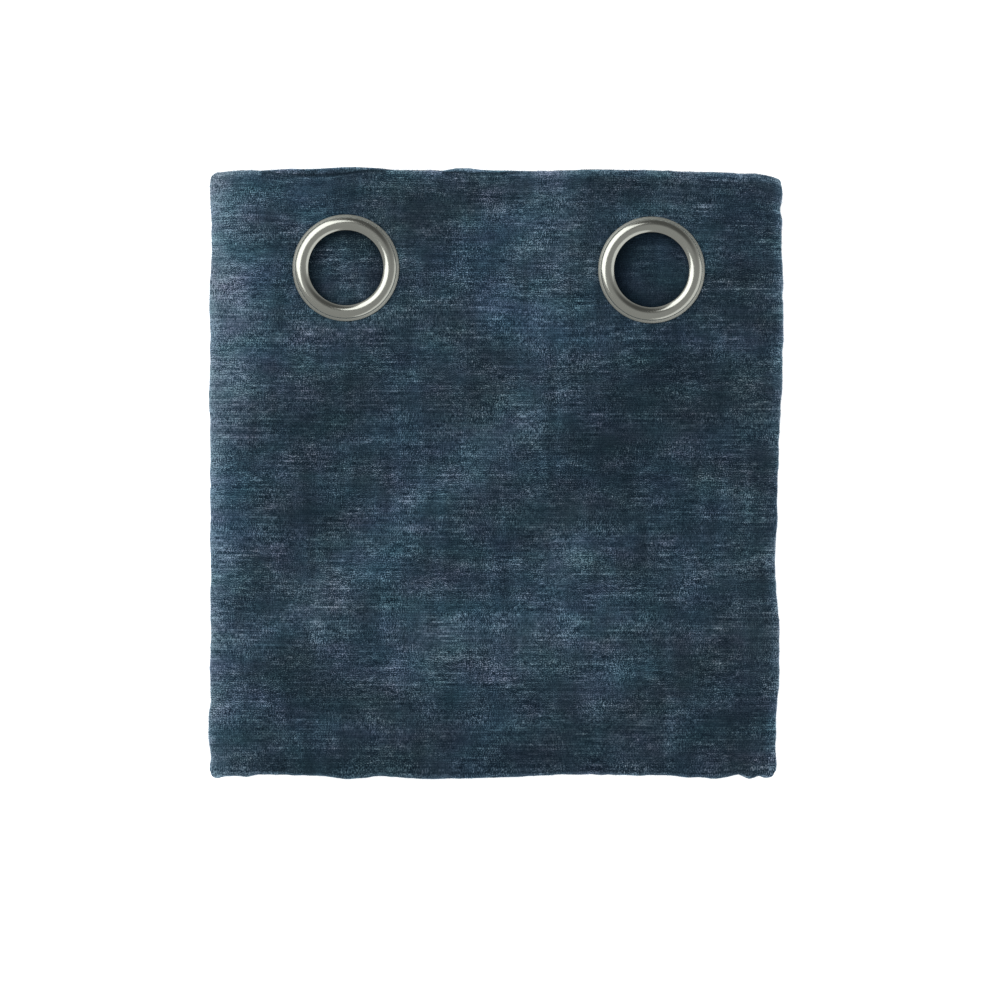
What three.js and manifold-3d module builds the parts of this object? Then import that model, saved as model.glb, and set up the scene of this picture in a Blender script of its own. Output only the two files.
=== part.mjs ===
// Eyelet curtain in dark blue chenille, folded flat.
//
// One sheet of cloth is folded into four layers across its width. That strip is folded
// back and forth into five sections along its length, with the heading on top. The
// heading is a node of its own because it holds the open eyelets.
//
// Millimetres. X runs across the packet, Y towards the heading, and Z up from the
// surface that the packet lies on.
import * as THREE from "three";
import { mergeVertices } from "three/addons/utils/BufferGeometryUtils.js";
import Module from "manifold-3d";

const wasm = await Module();
wasm.setup();

// ---------------------------------------------------------------- driving dimensions

const CURTAIN_WIDTH = 1350;
const CURTAIN_LENGTH = 1800;
const LAYERS_ACROSS = 4;
const SECTIONS_ALONG = 5;
const PACKET_WIDTH = CURTAIN_WIDTH / LAYERS_ACROSS;
const PACKET_LENGTH = CURTAIN_LENGTH / SECTIONS_ALONG;
const HALF_WIDTH = PACKET_WIDTH / 2;
const HALF_LENGTH = PACKET_LENGTH / 2;

// The cloth, and how far apart its layers lie
const CLOTH = 1.05;
const AIR = 0.45;
const LAYER = CLOTH + AIR;
const STRIP = LAYERS_ACROSS * LAYER;
const LOWEST_STRIP = 1.5 * LAYER + CLOTH / 2;
const PACKET_HEIGHT = SECTIONS_ALONG * STRIP - AIR;
const PIECE_GAP = 0.3;

// The heading strip and its eyelets
const HEADING_DEPTH = 110;
const EYELET_HOLE = 22.35;
const BARREL_WALL = 1.65;
const BARREL_RADIUS = EYELET_HOLE + BARREL_WALL;
const BACK_FLANGE_RADIUS = 29.5;
const BACK_FLANGE = 1.0;
const RING_RADIUS = 31.65;
const RING_RISE = 4.2;
const HEADING_LIFT = 2 * PIECE_GAP + BACK_FLANGE - AIR;
const HEADING_FACE = PACKET_HEIGHT + HEADING_LIFT;

// A row for each eyelet that shows: how far across, and how far below the heading's edge
const EYELETS = [
  { name: "eyelet_left", x: -88.3, drop: 58.2 },
  { name: "eyelet_right", x: 93.2, drop: 59.4 },
];

// How finely the cloth is divided: distances in from a side or down from the heading's
// edge, and numbers of steps
const SIDE_STATIONS = [8, 24];
const TOP_LAYER_STEPS = 12;
const SMALL_TURN_STEPS = 3;
const LARGE_TURN_STEPS = 4;
const BEND_STEPS = 4;
const HEADING_ROWS = [0, 8, 22, 44, 66, 88];
const FIRST_SECTION_STEPS = 11;
const END_STATION = 24;
const RING_SEGMENTS = 40;

// How far each free edge of the cloth stops short of the packet's side
const INNER_EDGE_SHORT = 9;
const OUTER_EDGE_SHORT = 3;

// The packet slumps towards its sides, more on the left
const LEFT_SLUMP = 4.2;
const RIGHT_SLUMP = 3.2;
const SLUMP_REACH = 24;

// A row for each section, top to bottom: how far its sides lie in from the packet's
// sides, and where the fold or the hem at its far end reaches
const SECTIONS = [
  { name: "first", left: 0, right: 0, end: -178.7 },
  { name: "second", left: 1.2, right: 2.6, end: 179.6 },
  { name: "third", left: 0.7, right: 1.9, end: -176.2 },
  { name: "fourth", left: 1.6, right: 3.0, end: 176.8 },
  { name: "fifth", left: 1.0, right: 2.3, end: -172.5 },
];

// Soft swells of the outline: where along the edge, how far each way, how far out
const LEFT_SWELLS = [
  { at: 143, reach: 26, out: -1.1 },
  { at: 95, reach: 45, out: 0.5 },
  { at: 30, reach: 40, out: 0.4 },
  { at: -55, reach: 38, out: -0.8 },
  { at: -151, reach: 26, out: 1.1 },
];
const RIGHT_SWELLS = [
  { at: 150, reach: 30, out: 0.9 },
  { at: 82, reach: 66, out: 2.5 },
  { at: -52, reach: 52, out: -2.6 },
  { at: -156, reach: 36, out: -2.3 },
];
const HEADING_SWELLS = [
  { at: -170, reach: 14, out: -2.4 },
  { at: -85, reach: 44, out: 2.0 },
  { at: -20, reach: 20, out: 1.2 },
  { at: 62, reach: 26, out: 0.5 },
  { at: 128, reach: 40, out: -1.6 },
  { at: 172, reach: 24, out: -5.0 },
];
const BOTTOM_SWELLS = [
  { at: -86, reach: 28, out: 2.2 },
  { at: -30, reach: 42, out: 2.6 },
  { at: 24, reach: 34, out: 0.9 },
  { at: 116, reach: 34, out: 1.8 },
];
const CORNER_SWELLS = [
  { at: -166, reach: 20, out: 1.5 },
  { at: 160, reach: 15, out: 1.1 },
];

// Soft ridges that the top layer alone forms below the heading
const RIDGES = [
  { name: "long diagonal, upper", from: [12, 34], to: [-40, -10], half: 34, rise: 1.7 },
  { name: "long diagonal, lower", from: [-66, -40], to: [-108, -86], half: 34, rise: 1.8 },
  { name: "lower fold, right", from: [52, -46], to: [30, -84], half: 30, rise: 1.3 },
  { name: "lower fold, left", from: [4, -97], to: [-44, -110], half: 30, rise: 1.2 },
  { name: "right hollow's rim", from: [128, -30], to: [116, -66], half: 26, rise: 1.2 },
];

// ---------------------------------------------------------------- soft shapes

function swell(table, place) {
  let total = 0;
  for (const bump of table) {
    const off = (place - bump.at) / bump.reach;
    if (Math.abs(off) < 1) {
      total += bump.out * (1 - off * off) ** 2;
    }
  }
  return total;
}

function ramp(value, start, end) {
  return THREE.MathUtils.smoothstep((value - start) / (end - start), 0, 1);
}

function slump(x) {
  const fromSide = HALF_WIDTH - Math.abs(x);
  const depth = x < 0 ? LEFT_SLUMP : RIGHT_SLUMP;
  const share = Math.max(0, 1 - fromSide / SLUMP_REACH);
  return depth * share * share;
}

function ridgeRise(x, y) {
  const point = new THREE.Vector3(x, y, 0);
  const nearest = new THREE.Vector3();
  let total = 0;
  for (const ridge of RIDGES) {
    const line = new THREE.Line3(
      new THREE.Vector3(...ridge.from, 0),
      new THREE.Vector3(...ridge.to, 0),
    );
    line.closestPointToPoint(point, true, nearest);
    const off = point.distanceTo(nearest) / ridge.half;
    if (off < 1) {
      total = Math.max(total, ridge.rise * (1 - off * off) ** 2);
    }
  }
  return total;
}

// How far the top layer stands above its place in the packet
function topLayerRise(x, y) {
  const fromSide = HALF_WIDTH - Math.abs(x);
  const acrossLift = ramp(fromSide, SIDE_STATIONS[0], SIDE_STATIONS[1]);
  const belowHeading = HALF_LENGTH - HEADING_DEPTH;
  const edgeDroop = 1 - 0.7 * ramp(y, HALF_LENGTH - 20, HALF_LENGTH);
  const lift = HEADING_LIFT * ramp(y, belowHeading - 80, belowHeading) * edgeDroop;
  const ridges = ridgeRise(x, y) * ramp(y, belowHeading, belowHeading - 24);
  return acrossLift * (lift + ridges);
}

// ---------------------------------------------------------------- the folded strip

// A station is a point on the middle of the cloth in the strip's section: x across, and
// level above the strip's mid-plane. facing is the cloth's own normal there.
function station(x, level, facing, options = {}) {
  return { x, level, facing, topLayer: false, short: 0, ...options };
}

function flatLayer(level, direction, places, options) {
  const facing = [0, direction];
  return places.map((x) => station(x, level * LAYER, facing, options));
}

// A fold at one side of the packet, from one layer's level to another's. upperOutside is
// 1 where the cloth's own upper face is on the outside of the turn, -1 where it is inside.
function sideTurn(side, fromLevel, toLevel, steps, outer, upperOutside) {
  const radius = (Math.abs(toLevel - fromLevel) * LAYER) / 2;
  const middle = ((fromLevel + toLevel) * LAYER) / 2;
  const centre = side * (HALF_WIDTH - outer);
  const start = Math.sign(fromLevel - toLevel);
  const turn = [];
  for (let step = 1; step < steps; step += 1) {
    const angle = (Math.PI * step) / steps;
    const out = [side * Math.sin(angle), start * Math.cos(angle)];
    const facing = [upperOutside * out[0], upperOutside * out[1]];
    turn.push(station(centre + radius * out[0], middle + radius * out[1], facing));
  }
  return turn;
}

// The strip's section: in from the inner free edge, round under the top layer, over it,
// round the right side, back, round again, and out along the lowest layer
function stripSection() {
  const small = (LAYER + CLOTH) / 2;
  const large = LAYER + CLOTH / 2;
  const [near, far] = SIDE_STATIONS;
  const leftSide = [-(HALF_WIDTH - small), -(HALF_WIDTH - near), -(HALF_WIDTH - far)];
  const rightSide = [HALF_WIDTH - far, HALF_WIDTH - near];
  const across = [];
  for (let step = 1; step < TOP_LAYER_STEPS; step += 1) {
    across.push(THREE.MathUtils.lerp(leftSide[2], rightSide[0], step / TOP_LAYER_STEPS));
  }
  const coarse = [...leftSide, 0, rightSide[0]];
  const innerLayer = [...coarse, HALF_WIDTH - INNER_EDGE_SHORT].reverse();
  const topLayer = [...leftSide, ...across, ...rightSide, HALF_WIDTH - large];
  const thirdLayer = [...coarse, HALF_WIDTH - near, HALF_WIDTH - large].reverse();
  const lowestLayer = [...coarse, HALF_WIDTH - near, HALF_WIDTH - OUTER_EDGE_SHORT];
  return [
    ...flatLayer(0.5, -1, innerLayer, { short: 2.4 }),
    ...sideTurn(-1, 0.5, 1.5, SMALL_TURN_STEPS, small, 1),
    ...flatLayer(1.5, 1, topLayer, { topLayer: true }),
    ...sideTurn(1, 1.5, -0.5, LARGE_TURN_STEPS, large, 1),
    ...flatLayer(-0.5, -1, thirdLayer, { short: 1.6 }),
    ...sideTurn(-1, -0.5, -1.5, SMALL_TURN_STEPS, small, -1),
    ...flatLayer(-1.5, 1, lowestLayer, { short: 3.2 }),
  ];
}

// A row is one place along the strip: its mid-plane point in Y and Z, the direction that
// the strip's upper face looks in, and how far its sides are drawn in
function sectionRow(index, y) {
  const { left, right } = SECTIONS[index];
  const z = LOWEST_STRIP + (SECTIONS_ALONG - 1 - index) * STRIP;
  return { y, z, facing: [0, index % 2 === 0 ? 1 : -1], left, right, index };
}

function bendCentre(index) {
  const outermost = STRIP / 2 + 1.5 * LAYER + CLOTH / 2;
  const reach = SECTIONS[index].end;
  return reach - Math.sign(reach) * outermost;
}

// The fold at the far end of a section, round into the next one
function bendRows(index) {
  const before = sectionRow(index, bendCentre(index));
  const after = sectionRow(index + 1, bendCentre(index));
  const side = Math.sign(SECTIONS[index].end);
  const upperOutside = before.facing[1];
  const rows = [];
  for (let step = 1; step < BEND_STEPS; step += 1) {
    const share = step / BEND_STEPS;
    const out = [side * Math.sin(Math.PI * share), Math.cos(Math.PI * share)];
    rows.push({
      y: before.y + (STRIP / 2) * out[0],
      z: (before.z + after.z) / 2 + (STRIP / 2) * out[1],
      facing: [upperOutside * out[0], upperOutside * out[1]],
      left: THREE.MathUtils.lerp(before.left, after.left, share),
      right: THREE.MathUtils.lerp(before.right, after.right, share),
      index: index + share,
    });
  }
  return rows;
}

function headingRows() {
  const rows = HEADING_ROWS.map((down) => sectionRow(0, HALF_LENGTH - down));
  rows.push(sectionRow(0, HALF_LENGTH - HEADING_DEPTH + PIECE_GAP / 2));
  return rows;
}

function panelRows() {
  const start = HALF_LENGTH - HEADING_DEPTH - PIECE_GAP / 2;
  const rows = [];
  for (let step = 0; step <= FIRST_SECTION_STEPS; step += 1) {
    const y = THREE.MathUtils.lerp(start, bendCentre(0), step / FIRST_SECTION_STEPS);
    rows.push(sectionRow(0, y));
  }
  for (let index = 1; index < SECTIONS_ALONG; index += 1) {
    rows.push(...bendRows(index - 1));
    const from = bendCentre(index - 1);
    const last = index === SECTIONS_ALONG - 1;
    const to = last ? SECTIONS[index].end : bendCentre(index);
    const heading = Math.sign(to - from);
    const places = [from, from + heading * END_STATION, 0, to - heading * END_STATION, to];
    rows.push(...places.map((y) => sectionRow(index, y)));
  }
  return rows;
}

// One point of the cloth's surface: face is 1 on the cloth's own upper side, -1 below
function clothPoint(row, column, face) {
  const flatX = column.x + (face * CLOTH * column.facing[0]) / 2;
  const level = column.level + (face * CLOTH * column.facing[1]) / 2;
  const flatY = row.y + level * row.facing[0];
  const flatZ = row.z + level * row.facing[1];

  const fromLeft = HALF_WIDTH + flatX;
  const fromRight = HALF_WIDTH - flatX;
  const firstShare = Math.max(0, 1 - row.index);
  const leftOut = firstShare * swell(LEFT_SWELLS, flatY) - row.left;
  const rightOut = firstShare * swell(RIGHT_SWELLS, flatY) - row.right;
  const leftShare = 1 - ramp(fromLeft, 0, HALF_WIDTH);
  const rightShare = 1 - ramp(fromRight, 0, HALF_WIDTH);
  const x = flatX - leftOut * leftShare + rightOut * rightShare;

  let y = flatY;
  if (row.index === 0) {
    const edgeShare = ramp(flatY, HALF_LENGTH - 44, HALF_LENGTH);
    y += (swell(HEADING_SWELLS, flatX) - column.short) * edgeShare;
  }
  if (row.index > 0 && row.index < 1) {
    const topLayerOut = column.topLayer ? swell(BOTTOM_SWELLS, flatX) : 0;
    y += (topLayerOut + swell(CORNER_SWELLS, flatX)) * row.facing[0];
  }

  let z = flatZ * (1 - slump(flatX) / PACKET_HEIGHT);
  if (row.index === 0 && column.topLayer) {
    z += topLayerRise(flatX, flatY);
  }
  return [x, y, z];
}

// The closed sheet between two ends of the strip: both faces of the cloth, its two free
// edges and its two ends
function clothGeometry(rows) {
  const columns = stripSection();
  const positions = [];
  for (const row of rows) {
    for (const column of columns) {
      positions.push(...clothPoint(row, column, 1));
      positions.push(...clothPoint(row, column, -1));
    }
  }
  const upper = (row, column) => (row * columns.length + column) * 2;
  const lower = (row, column) => upper(row, column) + 1;
  const triangles = [];
  const quad = (a, b, c, d) => triangles.push(a, b, c, a, c, d);
  const lastRow = rows.length - 1;
  const lastColumn = columns.length - 1;
  for (let r = 0; r < lastRow; r += 1) {
    for (let c = 0; c < lastColumn; c += 1) {
      quad(upper(r, c), upper(r + 1, c), upper(r + 1, c + 1), upper(r, c + 1));
      quad(lower(r, c), lower(r, c + 1), lower(r + 1, c + 1), lower(r + 1, c));
    }
    quad(upper(r, 0), lower(r, 0), lower(r + 1, 0), upper(r + 1, 0));
    quad(upper(r + 1, lastColumn), lower(r + 1, lastColumn), lower(r, lastColumn), upper(r, lastColumn));
  }
  for (let c = 0; c < lastColumn; c += 1) {
    quad(upper(0, c), upper(0, c + 1), lower(0, c + 1), lower(0, c));
    quad(lower(lastRow, c), lower(lastRow, c + 1), upper(lastRow, c + 1), upper(lastRow, c));
  }
  const geometry = new THREE.BufferGeometry();
  geometry.setAttribute("position", new THREE.Float32BufferAttribute(positions, 3));
  geometry.setIndex(triangles);
  return geometry;
}

// ---------------------------------------------------------------- cutting the eyelet holes

function toManifold(source) {
  let geometry = source.clone();
  geometry.deleteAttribute("normal");
  geometry.deleteAttribute("uv");
  geometry = mergeVertices(geometry);
  const vertProperties = new Float32Array(geometry.attributes.position.array);
  const triVerts = new Uint32Array(geometry.index.array);
  return new wasm.Manifold(new wasm.Mesh({ numProp: 3, vertProperties, triVerts }));
}

function fromManifold(solid) {
  const mesh = solid.getMesh();
  const geometry = new THREE.BufferGeometry();
  geometry.setAttribute("position", new THREE.BufferAttribute(mesh.vertProperties, 3));
  geometry.setIndex(new THREE.BufferAttribute(mesh.triVerts, 1));
  return geometry;
}

// Only the heading's top layer is punched
function headingGeometry() {
  const below = CLOTH + AIR;
  const above = RING_RISE;
  let strip = toManifold(clothGeometry(headingRows()));
  for (const eyelet of EYELETS) {
    const radius = BARREL_RADIUS + PIECE_GAP;
    const punch = new THREE.CylinderGeometry(radius, radius, below + above, RING_SEGMENTS);
    punch.rotateX(Math.PI / 2);
    const middle = HEADING_FACE + (above - below) / 2;
    punch.translate(eyelet.x, HALF_LENGTH - eyelet.drop, middle);
    strip = strip.subtract(toManifold(punch));
  }
  return fromManifold(strip);
}

// ---------------------------------------------------------------- eyelets

// A rounded front ring, a barrel through the cloth and a flat flange behind it, turned
// about the hole's axis. Heights are from the cloth's upper face.
function eyeletGeometry() {
  const flangeFace = -(CLOTH + PIECE_GAP);
  const back = flangeFace - BACK_FLANGE;
  const profile = [
    [EYELET_HOLE, back],
    [BACK_FLANGE_RADIUS, back],
    [BACK_FLANGE_RADIUS, flangeFace],
    [BARREL_RADIUS, flangeFace],
    [BARREL_RADIUS, PIECE_GAP],
    [RING_RADIUS, PIECE_GAP],
    [RING_RADIUS, PIECE_GAP + 0.6],
    [RING_RADIUS - 0.9, 1.7],
    [RING_RADIUS - 2.2, 3.4],
    [RING_RADIUS - 3.9, RING_RISE],
    [RING_RADIUS - 5.6, 3.9],
    [EYELET_HOLE + 1.9, 2.9],
    [EYELET_HOLE + 0.5, 1.9],
    [EYELET_HOLE, 1.0],
  ];
  const outline = [...profile, profile[0]].map(([radius, height]) => new THREE.Vector2(radius, height));
  const geometry = new THREE.LatheGeometry(outline, RING_SEGMENTS);
  geometry.rotateX(Math.PI / 2);
  geometry.deleteAttribute("normal");
  geometry.deleteAttribute("uv");
  return mergeVertices(geometry);
}

// ---------------------------------------------------------------- the finished curtain

const chenille = new THREE.MeshStandardMaterial({ color: 0x2e3e4a, roughness: 0.92, metalness: 0 });
const nickel = new THREE.MeshStandardMaterial({ color: 0xb9b4aa, roughness: 0.22, metalness: 1 });

function piece(name, geometry, material) {
  const mesh = new THREE.Mesh(geometry, material);
  mesh.name = name;
  return mesh;
}

const curtain = new THREE.Group();
curtain.add(piece("curtain_panel", clothGeometry(panelRows()), chenille));
curtain.add(piece("heading_strip", headingGeometry(), chenille));
for (const eyelet of EYELETS) {
  const ring = piece(eyelet.name, eyeletGeometry(), nickel);
  ring.position.set(eyelet.x, HALF_LENGTH - eyelet.drop, HEADING_FACE);
  curtain.add(ring);
}

// The origin is under the middle of the packet
const reach = new THREE.Box3().setFromObject(curtain);
const middle = reach.getCenter(new THREE.Vector3());
curtain.position.set(-middle.x, -middle.y, -reach.min.z);

const object = new THREE.Group();
object.add(curtain);

export default object;
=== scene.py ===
"""Eyelet curtain in dark blue chenille, folded flat and lying face up on a pale floor.

The cloth is one cut length. It is folded into four layers across its width, and that
strip is folded back and forth into five sections along its length. Two polished eyelets
sit in the heading, which ends on top.
"""
import math
import random

import bmesh
import bpy
from mathutils import Matrix, Vector, noise


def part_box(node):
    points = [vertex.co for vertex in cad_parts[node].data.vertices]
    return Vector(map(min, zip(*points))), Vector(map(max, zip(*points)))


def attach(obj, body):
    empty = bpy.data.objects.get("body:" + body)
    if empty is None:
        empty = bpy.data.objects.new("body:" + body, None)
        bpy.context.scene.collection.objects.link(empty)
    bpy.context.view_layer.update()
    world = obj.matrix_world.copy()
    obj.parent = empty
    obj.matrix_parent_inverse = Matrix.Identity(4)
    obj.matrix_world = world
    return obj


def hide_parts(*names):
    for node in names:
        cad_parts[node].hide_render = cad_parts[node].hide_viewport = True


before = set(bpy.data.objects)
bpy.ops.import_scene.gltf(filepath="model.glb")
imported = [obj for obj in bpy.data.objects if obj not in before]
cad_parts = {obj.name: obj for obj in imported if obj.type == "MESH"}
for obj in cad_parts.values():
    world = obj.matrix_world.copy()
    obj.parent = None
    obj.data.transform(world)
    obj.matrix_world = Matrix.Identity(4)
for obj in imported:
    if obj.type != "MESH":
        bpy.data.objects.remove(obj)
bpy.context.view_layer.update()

rng = random.Random(7)

# Sizes of the cloth are in millimetres, as a curtain maker gives them
MM = 0.001
CURTAIN_WIDTH = 1350.0
CURTAIN_LENGTH = 1800.0
LAYERS_ACROSS = 4
SECTIONS_ALONG = 5
HALF_WIDTH = CURTAIN_WIDTH / LAYERS_ACROSS / 2
HALF_LENGTH = CURTAIN_LENGTH / SECTIONS_ALONG / 2

# Each layer has this much room, and the cloth fills most of it
ROOM = 1.05
CLOTH = 0.98
LAYER = 1.5
STRIP = LAYERS_ACROSS * LAYER
TOP_LEVEL = 1.5
INNER_LEVEL = 0.5
LOWEST_STRIP = TOP_LEVEL * LAYER + ROOM / 2
PACKET_HEIGHT = SECTIONS_ALONG * STRIP - (LAYER - ROOM)
SMALL_TURN = (LAYER + ROOM) / 2
LARGE_TURN = LAYER + ROOM / 2

# The heading is lifted a little by the eyelets' back flanges
HEADING_DEPTH = 110.0
HEADING_LIFT = 1.15

# The two free edges stop short of the right side, and the layers under the top one stop
# short of the heading's edge
INNER_EDGE_SHORT = 9.0
OUTER_EDGE_SHORT = 3.0
LAYERS_SHORT = {"inner": 2.4, "third": 1.6, "lowest": 3.2}

# The packet slumps at its sides, and its corners are rounded. The heading's uneven edge
# fades out over its reach
LEFT_SLUMP = 4.2
RIGHT_SLUMP = 3.2
SLUMP_REACH = 24.0
LEFT_CORNER = 5.4
RIGHT_CORNER = 1.8
FOLD_CORNER = {"radius": 2.8, "depth": 8.0, "reach": 22.0}
HEADING_EDGE_REACH = 44.0

# The edges waver a little, each from its own place in the noise
EDGE_WAVER = {"size": 6.0, "out": 0.5}
HEADING_WAVER = {"size": 5.0, "out": 0.4}
WAVERS = {"left": 9.0, "right": 27.0, "heading": 41.0, "folds": 55.0}

# How finely the cloth is divided: distances in from a side, an end or an edge, and steps.
# The layer under the top one has more lines where it shows through the eyelets
NEAR_SIDE = (3, 5, 8, 12, 17, 24)
MIDDLE_PLACES = (-100, -50, 0, 50, 100)
UNDER_LEFT_EYELET = (-120, -56)
UNDER_RIGHT_EYELET = (60, 124)
BETWEEN_EYELETS = (0, 30)
UNDER_EYELET_STEP = 4.6
LOWEST_STEP = 7.6
TOP_TURN = {"reach": 10.0, "step": 1.25}
TOP_STEP = 3.4
SMALL_TURN_STEPS = 7
LARGE_TURN_STEPS = 9
EDGE_ROLL = (1.2, 0.4)
HEADING_ROLL = (0.3, 1.0, 2.4)
ROW_STEP = 3.2
UPPER_BEND_STEPS = 16
LOWER_BEND_STEPS = 12
NEAR_END = (8, 24)
SECTION_MIDDLE = 90
THIN_EDGE = {"share": 0.35, "reach": 0.8}

# Eyelets: the hole, the barrel, and how the front ring's dome and skirt are rounded
HOLE = 22.35
BARREL = 24.0
PUNCHED = 24.6
PUNCHED_MARGIN = 1.0
BACK_FLANGE = 29.5
FLANGE_ROUND = 0.5
FLANGE_MIDDLE = -1.85
UNDERSIDE = 0.05
UNDERSIDE_INSET = 0.4
RING_STEPS = 128
RING_RISE = 4.2
CREST = 26.25
INNER_DOME = 5.9
OUTER_DOME = 6.2
EDGE = 0.15
SKIRT_TOP = 29.9
SKIRT_HEIGHT = 2.1
SKIRT_SLOPES = (30, 44)
LIP = 0.12

# Loose fibres of the pile: how many stand on each fold, edge or skirt, with the most on the
# folds that show, what each is like, and where they stand round a side fold, in degrees,
# and round an end fold, as a share of it
FIBRES = {"upper": 2600, "lower": 500, "heading": 1800, "skirt": 500}
FIBRE = {"root": 0.05, "tip": 0.015, "length": (0.3, 0.95), "sunk": 0.1, "lean": 0.35,
         "lighter": 0.1}
FIBRE_ANGLES = (15, 165)
FIBRE_SHARES = (0.12, 0.85)
CLEAR_OF_ENDS = 2.0
HEADING_FIBRE = {"clear": 3.0, "up": (-0.3, 0.4), "length": (0.3, 0.9), "sunk": 0.2}
SKIRT_FIBRE = {"root": (0.0, 0.5), "tip": (0.2, 0.9), "up": (0.9, 1.6), "sunk": 0.1}

# The cloth seen in the holes sinks. Painted shadow of the rings darkens it beside the barrels,
# most towards the upper left, and it shows less of its yarn in the right hole
SUNK = {"from": 20.0, "reach": 34.0, "depth": 0.7}
CALM_REACH = 30.0
HOLE_SHADE_AND_CALM = {
    "left": {"off": Vector((1.5, -1.5)), "from": 15.0, "to": 25.5, "tone": -0.28, "calm": 0.0},
    "right": {"off": Vector((3.0, -2.0)), "from": 12.0, "to": 25.0, "tone": -0.32, "calm": 0.4},
}

# The left eyelet's place on the packet, from its middle, says where the packet lies
LEFT_EYELET = Vector((-88.3, HALF_LENGTH - 58.2, 0.0)) * MM


def middle_of(node):
    low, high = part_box(node)
    return Vector(((low.x + high.x) / 2, (low.y + high.y) / 2, 0.0))


PACKET_MIDDLE = middle_of("eyelet_left") - LEFT_EYELET
EYELETS = [
    (middle_of(node) - PACKET_MIDDLE).xy / MM for node in ("eyelet_left", "eyelet_right")
]

# A row for each section, top to bottom: how far its sides lie in, and where its far fold
# or hem reaches
SECTIONS = (
    {"left": -0.4, "right": -0.7, "end": -179.6},
    {"left": 1.2, "right": 2.6, "end": 179.9},
    {"left": 0.7, "right": 1.9, "end": -176.2},
    {"left": 1.6, "right": 3.0, "end": 176.8},
    {"left": 1.0, "right": 2.3, "end": -172.5},
)

# Soft swells of the outline: where along the edge, how far each way, how far out
LEFT_SWELLS = (
    {"at": 138, "reach": 34, "out": -0.9},
    {"at": 112, "reach": 26, "out": 0.4},
    {"at": 56, "reach": 62, "out": 0.4},
    {"at": 42, "reach": 12, "out": 0.6},
    {"at": -18, "reach": 12, "out": 0.6},
    {"at": -27, "reach": 24, "out": -0.5},
    {"at": -38, "reach": 12, "out": 0.8},
    {"at": -58, "reach": 20, "out": -0.4},
    {"at": -93, "reach": 13, "out": -0.3},
    {"at": -118, "reach": 16, "out": 0.5},
    {"at": -134, "reach": 9, "out": -0.5},
    {"at": -151, "reach": 24, "out": 1.1},
    {"at": -167, "reach": 7, "out": -0.8},
    {"at": -178.5, "reach": 7, "out": 1.2},
)
RIGHT_SWELLS = (
    {"at": 171, "reach": 15, "out": 2.1},
    {"at": 154, "reach": 9, "out": 1.25},
    {"at": 146, "reach": 14, "out": 0.9},
    {"at": 132, "reach": 28, "out": 1.2},
    {"at": 119, "reach": 9, "out": 0.5},
    {"at": 101, "reach": 34, "out": 2.2},
    {"at": 64, "reach": 44, "out": 2.2},
    {"at": -22, "reach": 38, "out": -1.3},
    {"at": -58, "reach": 32, "out": -2.2},
    {"at": -112, "reach": 20, "out": 0.2},
    {"at": -157, "reach": 38, "out": -2.0},
)
HEADING_SWELLS = (
    {"at": -166, "reach": 18, "out": -1.0},
    {"at": -108, "reach": 40, "out": -2.8},
    {"at": -78, "reach": 18, "out": 0.5},
    {"at": -38, "reach": 11, "out": 0.5},
    {"at": -8, "reach": 46, "out": -1.5},
    {"at": 30, "reach": 20, "out": -0.4},
    {"at": 60, "reach": 14, "out": 0.4},
    {"at": 126, "reach": 38, "out": -1.1},
    {"at": 149, "reach": 18, "out": -1.7},
    {"at": 176, "reach": 26, "out": -6.2},
)
BOTTOM_SWELLS = (
    {"at": -169, "reach": 8, "out": 2.4},
    {"at": -161.5, "reach": 8, "out": 1.0},
    {"at": -149, "reach": 12, "out": 1.2},
    {"at": -116, "reach": 14, "out": 0.5},
    {"at": -104, "reach": 10, "out": 0.6},
    {"at": -87, "reach": 20, "out": 2.7},
    {"at": -68, "reach": 18, "out": 0.7},
    {"at": -46, "reach": 24, "out": 2.4},
    {"at": -19, "reach": 29, "out": 2.4},
    {"at": 9, "reach": 24, "out": 1.5},
    {"at": 27, "reach": 10, "out": 0.5},
    {"at": 90, "reach": 34, "out": 0.5},
    {"at": 116, "reach": 11, "out": 1.8},
    {"at": 132, "reach": 15, "out": 2.5},
    {"at": 154, "reach": 8, "out": 2.5},
    {"at": 165.5, "reach": 8, "out": 1.9},
)
# The folds under the heading, by the section that ends there: the upper one peeps out
# past the heading in two places
UNDER_HEADING_SWELLS = {
    1: (
        {"at": -166, "reach": 18, "out": -1.6},
        {"at": -126, "reach": 22, "out": 1.5},
        {"at": -86, "reach": 42, "out": 2.8},
        {"at": -19, "reach": 14, "out": 1.6},
        {"at": -8, "reach": 40, "out": 0.9},
        {"at": 140, "reach": 30, "out": -1.6},
        {"at": 176, "reach": 30, "out": -6.4},
    ),
    3: ({"at": 176, "reach": 26, "out": -4.4},),
}

# The top layer rises inside its sides, is lifted near the heading, droops at the
# heading's edge, and is softly uneven below the heading
TOP_LAYER = {"from_side": (8.0, 24.0), "lift_reach": 80.0, "droop": 0.7, "droop_reach": 20.0}
SOFT_RISE = {"height": 0.45, "broad": 26.0, "small": 11.0, "small_share": 0.4, "reach": 24.0}

# Soft ridges of the top layer, below the heading
RIDGES = (
    {"from": (12, 34), "to": (-40, -10), "half": 34, "rise": 1.7},
    {"from": (-66, -40), "to": (-108, -86), "half": 34, "rise": 1.8},
    {"from": (52, -46), "to": (30, -84), "half": 30, "rise": 1.3},
    {"from": (4, -97), "to": (-44, -110), "half": 30, "rise": 1.2},
    {"from": (128, -30), "to": (116, -66), "half": 26, "rise": 1.2},
)
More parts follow.
